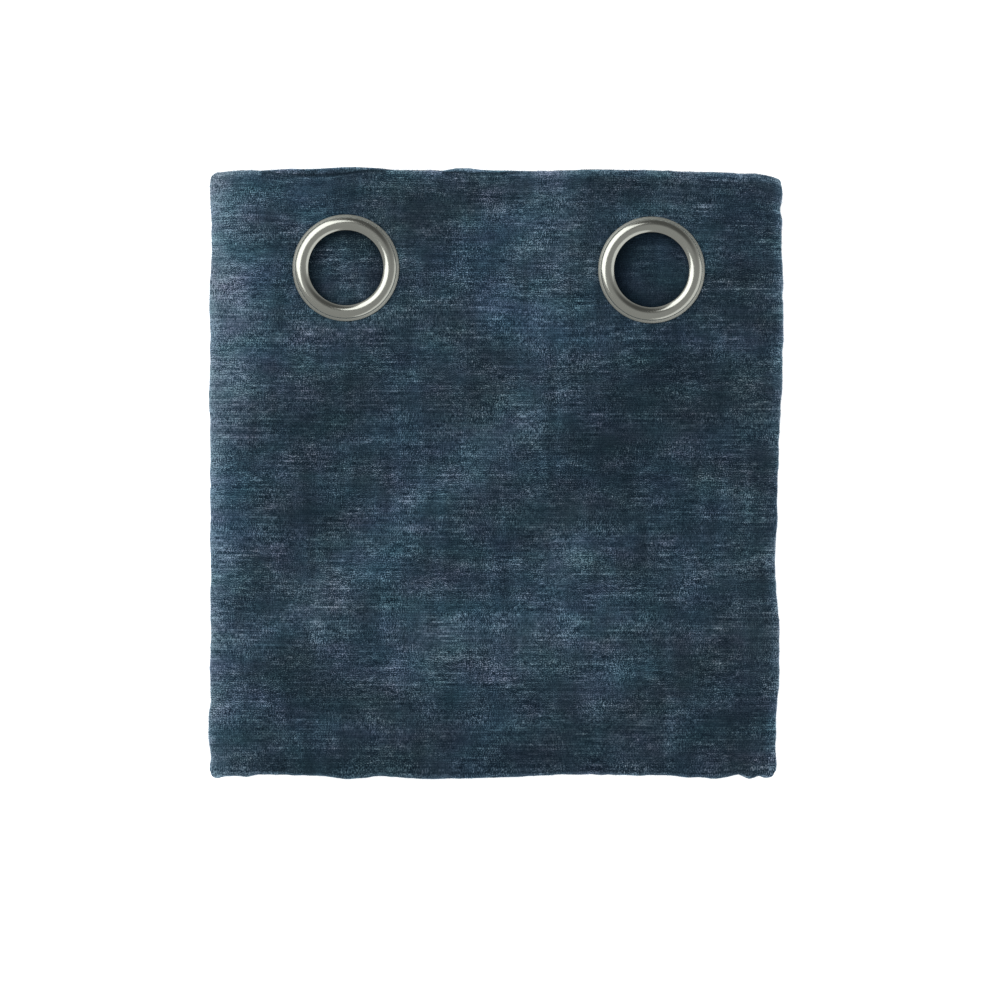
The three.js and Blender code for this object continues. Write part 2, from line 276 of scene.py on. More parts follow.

# Strokes of painted light and shade on the top layer, lighter or darker, standing in for the
# light on its soft ridges and the sheen of its pile
PAINTED_LIGHT_STROKES = (
    {"from": (16, 32), "to": (-18, 4), "half": 26, "tone": 0.11},
    {"from": (-32, -4), "to": (-71, -46), "half": 28, "tone": 0.11},
    {"from": (-71, -46), "to": (-107, -84), "half": 30, "tone": 0.13},
    {"from": (51, -49), "to": (33, -81), "half": 26, "tone": 0.12},
    {"from": (33, -81), "to": (-41, -108), "half": 30, "tone": 0.13},
    {"from": (48, -98), "to": (8, -106), "half": 26, "tone": 0.13},
    {"from": (70, -126), "to": (56, -130), "half": 24, "tone": 0.08},
    {"from": (-150, 160), "to": (-146, 62), "half": 30, "tone": 0.13},
    {"from": (30, 175), "to": (30, 80), "half": 28, "tone": 0.13},
    {"from": (-8, 146), "to": (-8, 125), "half": 26, "tone": 0.07},
    {"from": (-80, 94), "to": (-104, 84), "half": 24, "tone": 0.07},
    {"from": (60, -72), "to": (70, -84), "half": 20, "tone": 0.11},
    {"from": (-92, -154), "to": (-56, -152), "half": 18, "tone": 0.07},
    {"from": (84, 150), "to": (122, 140), "half": 24, "tone": 0.08},
    {"from": (118, -52), "to": (114, -66), "half": 24, "tone": 0.08},
    {"from": (72, 30), "to": (76, 2), "half": 34, "tone": -0.13},
    {"from": (92, 62), "to": (124, 42), "half": 34, "tone": -0.11},
    {"from": (-85, 44), "to": (-110, 24), "half": 32, "tone": -0.09},
    {"from": (-40, 152), "to": (-38, 138), "half": 22, "tone": -0.1},
    {"from": (114, -20), "to": (116, -32), "half": 24, "tone": -0.07},
    {"from": (-162, -86), "to": (-162, -170), "half": 24, "tone": -0.09},
    {"from": (168, 20), "to": (168, -34), "half": 12, "tone": -0.16},
    {"from": (12, 124), "to": (0, 94), "half": 22, "tone": 0.14},
    {"from": (-36, -76), "to": (-62, -80), "half": 20, "tone": 0.13},
    {"from": (92, 124), "to": (92, 116), "half": 22, "tone": -0.05},
    {"from": (62, 173), "to": (84, 168), "half": 16, "tone": -0.09},
    {"from": (89, -48), "to": (89, -58), "half": 14, "tone": -0.07},
    {"from": (89, -124), "to": (89, -132), "half": 16, "tone": -0.05},
    {"from": (-112, 176), "to": (-112, 168), "half": 20, "tone": 0.08},
    {"from": (-140, 70), "to": (-90, 72), "half": 20, "tone": 0.1},
    {"from": (-88, 130), "to": (-88, 112), "half": 16, "tone": 0.07},
    {"from": (-113, -22), "to": (-118, -30), "half": 28, "tone": -0.07},
    {"from": (-34, 50), "to": (-36, 16), "half": 20, "tone": -0.07},
    {"from": (116, 172), "to": (140, 170), "half": 16, "tone": -0.06},
    {"from": (-112, -130), "to": (-84, -132), "half": 30, "tone": -0.08},
    {"from": (20, -130), "to": (40, -134), "half": 28, "tone": -0.05},
    {"from": (-120, -170), "to": (150, -170), "half": 32, "tone": -0.06},
    {"from": (130, -112), "to": (146, -150), "half": 34, "tone": -0.09},
    {"from": (139, 150), "to": (139, 102), "half": 28, "tone": -0.06},
    {"from": (139, 46), "to": (139, 20), "half": 26, "tone": -0.05},
    {"from": (66, 176), "to": (112, 176), "half": 20, "tone": -0.05},
)

# Painted light and sheen near the packet's edges and on the outside of its folds, most of all on
# the left, the side the key light comes from
EDGE_SHEEN_BANDS = {
    "left": ({"reach": 38, "tone": 0.39}, {"reach": 11, "tone": 0.15}, {"reach": 2, "tone": 0.4}),
    "right": ({"reach": 9.5, "tone": 0.36}, {"reach": 2, "tone": 0.5}),
    "heading": ({"reach": 6.5, "tone": 0.5},),
    "folds": ({"reach": 1.5, "tone": 0.28},),
}

# The painted light is never lighter than this
BRIGHTEST_PAINTED_TONE = 0.58

# Painted shade on the fold that peeps out, darkest in the crease beside the heading, and less
# dark at two places along it
PEEPING_FOLD_SHADE = {"out": -0.06, "crease_shade": -0.44}
PEEPING_LIGHTER = (
    {"at": -130, "reach": 18, "out": 0.3},
    {"at": -6, "reach": 38, "out": 0.25},
)

# The fold shows once it is this far past the heading's edge, and its painted crease shade ends
# this far round its turn
PEEPING_SHOWS = (0.6, 1.8)
CREASE_TURN = (0.2, 0.6)

# Painted shade on the heading's edge too, where the fold peeps out beside it
CREASE_EDGE_SHADE = {"reach": 1.6, "tone": -0.35}


# ------------------------ soft shapes


def smooth(value, start, end):
    share = min(1.0, max(0.0, (value - start) / (end - start)))
    return share * share * (3 - 2 * share)


def mix(a, b, share):
    return a + (b - a) * share


def swell(table, place):
    total = 0.0
    for bump in table:
        off = (place - bump["at"]) / bump["reach"]
        if abs(off) < 1:
            total += bump["out"] * (1 - off * off) ** 2
    return total


def closeness(stroke, x, y):
    """From 1 on a stroke's line to 0 at its sides."""
    start, end = Vector(stroke["from"]), Vector(stroke["to"])
    along = end - start
    place = Vector((x, y)) - start
    share = min(1.0, max(0.0, place.dot(along) / along.length_squared))
    off = (place - along * share).length / stroke["half"]
    return (1 - off * off) ** 2 if off < 1 else 0.0


def uneven(size, x, y=0.0, seed=0.0):
    """Between about -0.5 and 0.5, changing over the given size."""
    return noise.noise(Vector((x / size, y / size, seed)))


def waver(kind, edge, place, seed):
    """How far an edge wavers outwards at a place along it."""
    return kind["out"] * uneven(kind["size"], place, WAVERS[edge], seed)


def rounding(distance, radius):
    """How far a rounded corner has drawn in, this far from its end."""
    if distance >= radius:
        return 0.0
    return radius - math.sqrt(radius ** 2 - (radius - max(0.0, distance)) ** 2)


def slump(x):
    depth = LEFT_SLUMP if x < 0 else RIGHT_SLUMP
    share = max(0.0, 1 - (HALF_WIDTH - abs(x)) / SLUMP_REACH)
    return depth * share * share


def painted_sheen(side, distance):
    """How much painted light and sheen is added, this far from an edge."""
    total = 0.0
    for band in EDGE_SHEEN_BANDS[side]:
        share = max(0.0, 1 - max(0.0, distance) / band["reach"])
        total += band["tone"] * share * share
    return total


def from_eyelet(x, y):
    return min((Vector((x, y)) - middle).length for middle in EYELETS)


def under_heading(section, x):
    """How far the fold under the heading swells, where this section ends there."""
    return swell(UNDER_HEADING_SWELLS.get(section, ()), x)


def peeping(x):
    """From 0 where the heading hides the upper fold to 1 where the fold peeps out."""
    past = SECTIONS[1]["end"] + under_heading(1, x) - HALF_LENGTH - swell(HEADING_SWELLS, x)
    return smooth(past, *PEEPING_SHOWS)


# The painted light, sheen and shade at one point of the cloth, as a tone
def painted_tone(column, row):
    x, y, index = column["x"], row["y"], row["index"]
    # Painted light and sheen near the two side edges
    tone = painted_sheen("left", HALF_WIDTH + x) + painted_sheen("right", HALF_WIDTH - x)
    if index == 0:
        from_edge = HALF_LENGTH - y
        near = max(0.0, 1 - from_edge / CREASE_EDGE_SHADE["reach"])
        # Painted crease shade on the heading's edge, where the fold peeps out
        crease_shade = (CREASE_EDGE_SHADE["tone"] + swell(PEEPING_LIGHTER, x)) * near
        tone += mix(painted_sheen("heading", from_edge), crease_shade, peeping(x))
        if column.get("inner"):
            # Painted shadow of the ring inside the hole, darkest towards the upper left
            hole_shade = HOLE_SHADE_AND_CALM["left" if x < 0 else "right"]
            far = from_eyelet(*(Vector((x, y)) - hole_shade["off"]))
            tone += hole_shade["tone"] * smooth(far, hole_shade["from"], hole_shade["to"])
    else:
        tone += painted_sheen("folds", STRIP / 2 * (1 - abs(row["facing"][0])))
    if math.floor(index) == 1:
        # Painted shade on the fold that peeps out, darkest in its crease
        crease_shade_share = 1 - smooth(abs(row["facing"][0]), *CREASE_TURN)
        tone += mix(PEEPING_FOLD_SHADE["out"], PEEPING_FOLD_SHADE["crease_shade"], crease_shade_share)
        tone += swell(PEEPING_LIGHTER, x)
    if index < 1:
        # Painted light and shade from the strokes that reach this point
        strokes = [stroke["tone"] * closeness(stroke, x, y) for stroke in PAINTED_LIGHT_STROKES]
        tone += max(strokes) + min(strokes)
    return min(tone, BRIGHTEST_PAINTED_TONE)


def top_layer_rise(x, y):
    inside = smooth(HALF_WIDTH - abs(x), *TOP_LAYER["from_side"])
    below = HALF_LENGTH - HEADING_DEPTH
    drooping = smooth(y, HALF_LENGTH - TOP_LAYER["droop_reach"], HALF_LENGTH)
    lift = HEADING_LIFT * smooth(y, below - TOP_LAYER["lift_reach"], below)
    lift *= 1 - TOP_LAYER["droop"] * drooping
    ridges = max(ridge["rise"] * closeness(ridge, x, y) for ridge in RIDGES)
    small = SOFT_RISE["small_share"] * uneven(SOFT_RISE["small"], x, y, seed=5)
    soft = SOFT_RISE["height"] * (0.5 + uneven(SOFT_RISE["broad"], x, y, seed=3) + small)
    return inside * (lift + (ridges + soft) * smooth(y, below, below - SOFT_RISE["reach"]))


# ------------------------ folding the cloth


def stops(start, end, step):
    count = max(1, round(abs(end - start) / step))
    return [mix(start, end, i / count) for i in range(count + 1)]


def flat_layer(level, places, **marks):
    return [{"x": x, "level": level * LAYER, **marks} for x in places]


def turn_column(side, from_level, to_level, outer, angle, proud=0.0):
    """A line of the cloth on a side fold, or proud of it, on the fold's outside."""
    radius = abs(to_level - from_level) * LAYER / 2 + proud
    middle = (from_level + to_level) * LAYER / 2
    start = math.copysign(1, from_level - to_level)
    x = side * (HALF_WIDTH - outer + radius * math.sin(angle))
    return {"x": x, "level": middle + start * radius * math.cos(angle)}


def side_turn(side, from_level, to_level, steps, outer):
    angles = [math.pi * step / steps for step in range(1, steps)]
    return [turn_column(side, from_level, to_level, outer, angle) for angle in angles]


def columns_across():
    """Where the cloth's lengthwise lines lie in the strip's section, from the inner free
    edge, round under the top layer, over it, and back and forth below it."""
    left = -(HALF_WIDTH - SMALL_TURN)
    right = HALF_WIDTH - LARGE_TURN
    near_left = [left] + [-(HALF_WIDTH - place) for place in NEAR_SIDE]
    *near_right, last_right, _ = [HALF_WIDTH - place for place in reversed(NEAR_SIDE)]
    inner_edge = HALF_WIDTH - INNER_EDGE_SHORT
    outer_edge = HALF_WIDTH - OUTER_EDGE_SHORT
    inner = near_left + stops(*UNDER_LEFT_EYELET, UNDER_EYELET_STEP) + [*BETWEEN_EYELETS]
    inner += stops(*UNDER_RIGHT_EYELET, UNDER_EYELET_STEP) + near_right[:-1]
    inner += [inner_edge - roll for roll in EDGE_ROLL] + [inner_edge]
    third = near_left + [*MIDDLE_PLACES] + near_right + [last_right, right]
    lowest = near_left + stops(near_left[-1], near_right[0], LOWEST_STEP)[1:-1] + near_right
    lowest += [last_right, outer_edge - EDGE_ROLL[-1], outer_edge]
    turn_reach, turn_step = TOP_TURN["reach"], TOP_TURN["step"]
    top = stops(left, left + turn_reach, turn_step)
    top += stops(left + turn_reach, right - turn_reach, TOP_STEP)[1:]
    top += stops(right - turn_reach, right, turn_step)[1:]
    return [
        *flat_layer(INNER_LEVEL, reversed(inner), short=LAYERS_SHORT["inner"], inner=True),
        *side_turn(-1, INNER_LEVEL, TOP_LEVEL, SMALL_TURN_STEPS, SMALL_TURN),
        *flat_layer(TOP_LEVEL, top, top=True),
        *side_turn(1, TOP_LEVEL, -INNER_LEVEL, LARGE_TURN_STEPS, LARGE_TURN),
        *flat_layer(-INNER_LEVEL, reversed(third), short=LAYERS_SHORT["third"]),
        *side_turn(-1, -INNER_LEVEL, -TOP_LEVEL, SMALL_TURN_STEPS, SMALL_TURN),
        *flat_layer(-TOP_LEVEL, lowest, short=LAYERS_SHORT["lowest"]),
    ]


def section_row(index, y):
    section = SECTIONS[index]
    z = LOWEST_STRIP + (SECTIONS_ALONG - 1 - index) * STRIP
    facing = 1 if index % 2 == 0 else -1
    return {"y": y, "z": z, "facing": (0, facing), "index": index,
            "left": section["left"], "right": section["right"]}


def bend_centre(index):
    reach = SECTIONS[index]["end"]
    return reach - math.copysign(STRIP / 2 + TOP_LEVEL * LAYER + ROOM / 2, reach)


def bend_row(index, share):
    before = section_row(index, bend_centre(index))
    after = section_row(index + 1, bend_centre(index))
    side = math.copysign(1, SECTIONS[index]["end"])
    out = (side * math.sin(math.pi * share), math.cos(math.pi * share))
    facing = before["facing"][1]
    return {
        "y": before["y"] + STRIP / 2 * out[0],
        "z": (before["z"] + after["z"]) / 2 + STRIP / 2 * out[1],
        "facing": (facing * out[0], facing * out[1]),
        "index": index + share,
        "left": mix(before["left"], after["left"], share),
        "right": mix(before["right"], after["right"], share),
    }


def rows_along():
    """Where the cloth's crosswise lines lie, from the heading's edge to the hem."""
    *edge, body_start = [HALF_LENGTH - roll for roll in (0, *HEADING_ROLL)]
    body = stops(body_start, bend_centre(0), ROW_STEP)
    rows = [section_row(0, y) for y in edge + body]
    near, far = NEAR_END
    for index in range(1, SECTIONS_ALONG):
        steps = UPPER_BEND_STEPS if index == 1 else LOWER_BEND_STEPS
        rows += [bend_row(index - 1, step / steps) for step in range(1, steps)]
        last = index == SECTIONS_ALONG - 1
        start = bend_centre(index - 1)
        end = SECTIONS[index]["end"] if last else bend_centre(index)
        way = math.copysign(1, end - start)
        places = [start, start + near * way, start + far * way]
        places += [-SECTION_MIDDLE * way, 0, SECTION_MIDDLE * way]
        places += [end - far * way, end - near * way]
        places += [end - EDGE_ROLL[-1] * way, end] if last else [end]
        rows += [section_row(index, y) for y in places]
    return rows


def moved_across(flat_x, flat_y, row):
    """How far the swells, the section and the fold's rounded corners move a point."""
    index = row["index"]
    first = max(0.0, 1 - index)
    from_left, from_right = HALF_WIDTH + flat_x, HALF_WIDTH - flat_x
    left_out = first * swell(LEFT_SWELLS, flat_y) - row["left"]
    right_out = first * swell(RIGHT_SWELLS, flat_y) - row["right"]
    left_out += waver(EDGE_WAVER, "left", flat_y, index)
    right_out += waver(EDGE_WAVER, "right", flat_y, index)
    move = right_out * (1 - smooth(from_right, 0, HALF_WIDTH))
    move -= left_out * (1 - smooth(from_left, 0, HALF_WIDTH))
    if index != int(index):
        from_tip = FOLD_CORNER["depth"] * (1 - abs(row["facing"][0]))
        drawn = rounding(from_tip, FOLD_CORNER["radius"])
        move -= drawn * (1 - smooth(from_right, 0, FOLD_CORNER["reach"]))
        move += drawn * (1 - smooth(from_left, 0, FOLD_CORNER["reach"]))
    return move


def moved_along(flat_x, flat_y, row, column):
    """How far the heading's edge and the folds move a point."""
    index = row["index"]
    if index == 0:
        out = swell(HEADING_SWELLS, flat_x) - column.get("short", 0.0)
        out += waver(HEADING_WAVER, "heading", flat_x, 2)
        out -= rounding(HALF_WIDTH + flat_x, LEFT_CORNER)
        out -= rounding(HALF_WIDTH - flat_x, RIGHT_CORNER)
        return out * smooth(flat_y, HALF_LENGTH - HEADING_EDGE_REACH, HALF_LENGTH)
    section = math.floor(index)
    out = waver(EDGE_WAVER, "folds", flat_x, section)
    if section == 0 and column.get("top"):
        out += swell(BOTTOM_SWELLS, flat_x)
    out += under_heading(section, flat_x)
    return out * abs(row["facing"][0]) * math.copysign(1, row["y"])


def laid(column, row):
    """One point of the folded cloth, from the packet's middle."""
    flat_x = column["x"]
    level = column["level"]
    flat_y = row["y"] + level * row["facing"][0]
    flat_z = row["z"] + level * row["facing"][1]
    x = flat_x + moved_across(flat_x, flat_y, row)
    y = flat_y + moved_along(flat_x, flat_y, row, column)
    z = flat_z * (1 - slump(flat_x) / PACKET_HEIGHT)
    if row["index"] == 0 and column.get("top"):
        z += top_layer_rise(flat_x, flat_y)
    if row["index"] == 0 and column.get("inner"):
        far = smooth(from_eyelet(flat_x, flat_y), SUNK["from"], SUNK["reach"])
        z -= SUNK["depth"] * (1 - far)
    return Vector((x, y, z))


def measured(lines, across, up):
    """How far along the flat cloth each line lies."""
    places = [0.0]
    for before, after in zip(lines, lines[1:]):
        step = math.hypot(after[across] - before[across], after[up] - before[up])
        places.append(places[-1] + step)
    return places


def finished(name, shape):
    mesh = bpy.data.meshes.new(name)
    shape.to_mesh(mesh)
    shape.free()
    mesh.shade_smooth()
    piece = bpy.data.objects.new(name, mesh)
    bpy.context.scene.collection.objects.link(piece)
    return piece


def punch_holes(cloth, heading_faces):
    """Opens the heading for the eyelets' barrels, with a clean round edge."""
    for node in ("eyelet_left", "eyelet_right"):
        hole = middle_of(node).xy
        reach = (PUNCHED + PUNCHED_MARGIN) * MM
        inside = [
            face for face in heading_faces
            if face.is_valid and (face.calc_center_median().xy - hole).length < reach
        ]
        rim = {vertex for face in inside for vertex in face.verts}
        bmesh.ops.delete(cloth, geom=inside, context="FACES")
        for vertex in rim:
            if vertex.is_valid:
                vertex.co.xy = hole + (vertex.co.xy - hole).normalized() * PUNCHED * MM


def folded_cloth():
    columns = columns_across()
    rows = rows_along()
    across = measured(columns, "x", "level")
    along = measured(rows, "y", "z")
    last_column, last_row = len(columns) - 1, len(rows) - 1

    cloth = bmesh.new()
    bmesh.ops.create_grid(cloth, x_segments=last_column, y_segments=last_row, size=0.5)
    flat = cloth.loops.layers.uv.new("flat")
    painted_light = cloth.verts.layers.float.new("painted_light")
    calm = cloth.verts.layers.float.new("calm")
    thickness = cloth.verts.layers.deform.verify()
    places = {}
    for vertex in cloth.verts:
        i = round((vertex.co.x + 0.5) * last_column)
        j = round((0.5 - vertex.co.y) * last_row)
        places[vertex] = (i, j)
    heading_faces = []
    for face in cloth.faces:
        for loop in face.loops:
            i, j = places[loop.vert]
            loop[flat].uv = (across[i] * MM, along[j] * MM)
        i, j = places[face.verts[0]]
        if columns[i].get("top") and along[j] < HEADING_DEPTH:
            heading_faces.append(face)
    for vertex, (i, j) in places.items():
        column, row = columns[i], rows[j]
        vertex.co = PACKET_MIDDLE + laid(column, row) * MM
        from_side = min(across[i], across[last_column] - across[i])
        from_end = min(along[j], along[last_row] - along[j])
        full = min(1.0, min(from_side, from_end) / THIN_EDGE["reach"])
        vertex[thickness][0] = mix(THIN_EDGE["share"], 1.0, full)
        # Each point keeps its painted light and shade
        vertex[painted_light] = painted_tone(column, row)
        if column.get("inner") and row["index"] == 0:
            if from_eyelet(column["x"], row["y"]) < CALM_REACH:
                vertex[calm] = HOLE_SHADE_AND_CALM["left" if column["x"] < 0 else "right"]["calm"]
    punch_holes(cloth, heading_faces)
    bmesh.ops.recalc_face_normals(cloth, faces=cloth.faces)
    piece = finished("curtain_cloth", cloth)
    piece.vertex_groups.new(name="thickness")
    thick = piece.modifiers.new("cloth thickness", "SOLIDIFY")
    thick.thickness = CLOTH * MM
    thick.offset = 0
    thick.vertex_group = "thickness"
    return piece


# ------------------------ loose pile


def measured_skirt(node):
    """Where an eyelet's skirt lies on the cloth, from the packet's middle."""
    low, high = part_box(node)
    return {
        "middle": (middle_of(node) - PACKET_MIDDLE) / MM,
        "outer": (high.x - low.x) / 2 / MM,
        "face": high.z / MM - RING_RISE,
    }


def on_side(side, index):
    """A fibre on a side fold of a section."""
    start = bend_centre(index - 1) if index else HALF_LENGTH - CLEAR_OF_ENDS
    last = index == SECTIONS_ALONG - 1
    end = SECTIONS[index]["end"] if last else bend_centre(index)
    row = section_row(index, rng.uniform(start, end))
    levels = (TOP_LEVEL, INNER_LEVEL, SMALL_TURN)
    if side > 0:
        levels = (TOP_LEVEL, -INNER_LEVEL, LARGE_TURN)
    angle = math.radians(rng.uniform(*FIBRE_ANGLES))
    column = turn_column(side, *levels, angle, CLOTH / 2 - FIBRE["sunk"])
    proud = CLOTH / 2 + rng.uniform(*FIBRE["length"])
    tip = laid(turn_column(side, *levels, angle, proud), row)
    return laid(column, row), tip, painted_tone(column, row)


def on_fold(index):
    """A fibre on the fold between two sections."""
    row = bend_row(index, rng.uniform(*FIBRE_SHARES))
    outer = math.copysign(1, row["facing"][0] * SECTIONS[index]["end"])
    surface = TOP_LEVEL * LAYER + CLOTH / 2
    x = rng.uniform(-HALF_WIDTH + CLEAR_OF_ENDS, HALF_WIDTH - CLEAR_OF_ENDS)
    column = {"x": x, "top": outer > 0}
    root = laid({**column, "level": outer * (surface - FIBRE["sunk"])}, row)
    proud = surface + rng.uniform(*FIBRE["length"])
    tip = laid({**column, "level": outer * proud}, row)
    return root, tip, painted_tone(column, row)


def on_heading_edge():
    """A fibre on the heading's free edge."""
    clear = HALF_WIDTH - HEADING_FIBRE["clear"]
    x = rng.uniform(-clear, clear)
    level = TOP_LEVEL * LAYER + rng.uniform(*HEADING_FIBRE["up"])
    column = {"x": x, "level": level, "top": True}
    row = section_row(0, HALF_LENGTH)
    edge = laid(column, row)
    root = edge - Vector((0, HEADING_FIBRE["sunk"], 0))
    tip = edge + Vector((0, rng.uniform(*HEADING_FIBRE["length"]), 0))
    return root, tip, painted_tone(column, row)


def on_skirt(skirt):
    """A fibre of the heading that leans on an eyelet's skirt."""
    turn = rng.uniform(0, 2 * math.pi)
    way = Vector((math.cos(turn), math.sin(turn), 0))
    foot = skirt["middle"] + Vector((0, 0, skirt["face"]))
    root = foot + way * (skirt["outer"] + rng.uniform(*SKIRT_FIBRE["root"]))
    root.z -= SKIRT_FIBRE["sunk"]
    tip = foot + way * (skirt["outer"] - rng.uniform(*SKIRT_FIBRE["tip"]))
    tip.z += rng.uniform(*SKIRT_FIBRE["up"])
    return root, tip, 0.0


def fibre_places():
    fibres = []
    for index in range(SECTIONS_ALONG):
        many = FIBRES["upper" if index == 0 else "lower"]
        fibres += [on_side(side, index) for side in (-1, 1) for _ in range(many)]
    for index in range(SECTIONS_ALONG - 1):
        many = FIBRES["upper" if index < 2 else "lower"]
        fibres += [on_fold(index) for _ in range(many)]
    fibres += [on_heading_edge() for _ in range(FIBRES["heading"])]
    for node in ("eyelet_left", "eyelet_right"):
        skirt = measured_skirt(node)
        fibres += [on_skirt(skirt) for _ in range(FIBRES["skirt"])]
    return fibres


def array_of(name, shape, count):
    """Many copies of a small shape in one mesh, in order."""
    one = finished(name, shape)
    copies = one.modifiers.new("copies", "ARRAY")
    copies.count = count
    copies.use_relative_offset = False
    seen = one.evaluated_get(bpy.context.evaluated_depsgraph_get())
    many = bmesh.new()
    many.from_mesh(seen.to_mesh())
    seen.to_mesh_clear()
    bpy.data.objects.remove(one)
    return many


def loose_pile():
    """Short tapered fibres that stand out where the cloth turns over, ends or meets an
    eyelet."""
    fibres = fibre_places()
    fibre = bmesh.new()
    bmesh.ops.create_cone(
        fibre, cap_ends=True, segments=3, radius1=FIBRE["root"], radius2=FIBRE["tip"], depth=1.0,
    )
    corners = len(fibre.verts)
    pile = array_of("fibre", fibre, len(fibres))
    flat = pile.loops.layers.uv.new("flat")
    painted_light = pile.verts.layers.float.new("painted_light")
    vertices = list(pile.verts)
    for number, (root, tip, tone) in enumerate(fibres):
        lean = Vector([rng.uniform(-FIBRE["lean"], FIBRE["lean"]) for _ in range(3)])
        way = tip + lean * (tip - root).length - root
        turned = way.to_track_quat("Z", "Y").to_matrix().to_4x4()
        longer = Matrix.Diagonal((1, 1, way.length, 1))
        placed = Matrix.Translation(root + way / 2) @ turned @ longer
        # A fibre takes the painted light and shade of its place, a little lighter at random
        tone += rng.uniform(0.0, FIBRE["lighter"])
        spot = (rng.uniform(0, CURTAIN_WIDTH) * MM, rng.uniform(0, CURTAIN_LENGTH) * MM)
        for vertex in vertices[number * corners:(number + 1) * corners]:
            vertex.co = PACKET_MIDDLE + (placed @ vertex.co) * MM
            vertex.co.z = max(0.0, vertex.co.z)
            vertex[painted_light] = tone
            for loop in vertex.link_loops:
                loop[flat].uv = spot
    return finished("loose_pile", pile)


# ------------------------ eyelets


def arc(middle, radii, start, end, steps):
    """Points on part of an ellipse, as radius from the hole's axis and height."""
    points = []
    for step in range(steps + 1):
        angle = math.radians(mix(start, end, step / steps))
        out = middle[0] + radii[0] * math.cos(angle)
        up = middle[1] + radii[1] * math.sin(angle)
        points.append((out, up))
    return points


def eyelet(node):
    """A domed front ring with a duller skirt, a barrel through the cloth, and a flat
    flange behind it."""
    skirt = measured_skirt(node)
    outer = skirt["outer"]
    outer_turn = math.degrees(math.asin((SKIRT_TOP - CREST) / OUTER_DOME))
    inner_turn = math.degrees(math.asin((CREST - HOLE - EDGE) / INNER_DOME))
    inner_height = RING_RISE - INNER_DOME * (1 - math.cos(math.radians(inner_turn)))
    inner_dome = (CREST, RING_RISE - INNER_DOME)
    outer_dome = (CREST, RING_RISE - OUTER_DOME)
    dome = [
        *arc((HOLE + EDGE, inner_height - EDGE), (EDGE, EDGE), 180, 90 + inner_turn, 6),
        *arc(inner_dome, (INNER_DOME, INNER_DOME), 90 + inner_turn, 90, 10)[1:],
        *arc(outer_dome, (OUTER_DOME, OUTER_DOME), 90, 90 - outer_turn, 12)[1:],
    ]
    start, end = (math.radians(slope) for slope in SKIRT_SLOPES)
    skirt_start = SKIRT_TOP + EDGE
    skirt_end = outer - LIP * (1 - math.sin(end))
    around = (skirt_end - skirt_start) / (math.sin(end) - math.sin(start))
    middle = skirt_start - around * math.sin(start)
    height = SKIRT_HEIGHT + EDGE - around * math.cos(start)
    lip_height = height + (around - LIP) * math.cos(end)
    first, last = (90 - slope for slope in SKIRT_SLOPES)
    lip = [
        *arc((middle, height), (around, around), first, last, 7),
        *arc((outer - LIP, lip_height), (LIP, LIP), last, 0, 4)[1:],
        (outer, EDGE),
    ]
    flange_round = (FLANGE_ROUND, FLANGE_ROUND)
    back = [
        (outer - UNDERSIDE_INSET, UNDERSIDE),
        (BARREL, UNDERSIDE),
        (BARREL, FLANGE_MIDDLE + FLANGE_ROUND),
        *arc((BACK_FLANGE - FLANGE_ROUND, FLANGE_MIDDLE), flange_round, 90, -90, 6),
        *arc((HOLE + FLANGE_ROUND, FLANGE_MIDDLE), flange_round, 270, 180, 3),
    ]
    ring = bmesh.new()
    brushed = ring.verts.layers.float.new("brushed")
    corners = [ring.verts.new((r * MM, 0, h * MM)) for r, h in dome + lip + back]
    dull_from = (SKIRT_TOP + EDGE / 3) * MM
    for corner in corners:
        corner[brushed] = 1.0 if corner.co.x > dull_from else 0.0
    for before, after in zip(corners, corners[1:] + corners[:1]):
        ring.edges.new((before, after))
    bmesh.ops.spin(
        ring, geom=ring.verts[:] + ring.edges[:], cent=(0, 0, 0), axis=(0, 0, 1),
        angle=2 * math.pi, steps=RING_STEPS, use_merge=True,
    )
    place = PACKET_MIDDLE + (skirt["middle"] + Vector((0, 0, skirt["face"]))) * MM
    bmesh.ops.translate(ring, verts=ring.verts, vec=place)
    bmesh.ops.recalc_face_normals(ring, faces=ring.faces)
    return finished(node + "_ring", ring)


# ------------------------ materials


class Maker:
    """Adds nodes to a node tree and joins them."""

    def __init__(self, tree):
        self.tree = tree
        self.count = 0

    def node(self, kind, inputs=(), **settings):
        made = self.tree.nodes.new(kind)
        self.count += 1
        made.location = (200 * (self.count % 12), -220 * (self.count // 12))
        for name, value in settings.items():
            setattr(made, name, value)
        for name, value in dict(inputs).items():
            self.feed(made, name, value)
        return made

    def feed(self, made, name, value):
        socket = made.inputs[name]
        if isinstance(value, bpy.types.NodeSocket):
            self.tree.links.new(value, socket)
        else:
            socket.default_value = value

    def sum(self, operation, *values):
        made = self.node("ShaderNodeMath", operation=operation)
        for place, value in enumerate(values):
            self.feed(made, place, value)
        return made.outputs[0]

    def vector(self, x, y, z=0.0):
        return self.node("ShaderNodeCombineXYZ", {"X": x, "Y": y, "Z": z}).outputs[0]

    def noise(self, vector, detail=1.0):
        made = self.node("ShaderNodeTexNoise", {"Vector": vector, "Scale": 1.0, "Detail": detail})
        return made.outputs["Fac"]

    def remap(self, value, start, end, low=0.0, high=1.0, kind="LINEAR"):
        return self.node("ShaderNodeMapRange", {
            "Value": value, "From Min": start, "From Max": end,
            "To Min": low, "To Max": high}, interpolation_type=kind).outputs["Result"]

    def weighted(self, *terms):
        """The sum of each value's distance from a half, times its weight."""
        total = None
        for value, weight in terms:
            part = self.sum("MULTIPLY", self.sum("SUBTRACT", value, 0.5), weight)
            total = part if total is None else self.sum("ADD", total, part)
        return total


def srgb(red, green, blue):
    def linear(level):
        level /= 255
        return level / 12.92 if level <= 0.04045 else ((level + 0.055) / 1.055) ** 2.4

    return (linear(red), linear(green), linear(blue), 1.0)


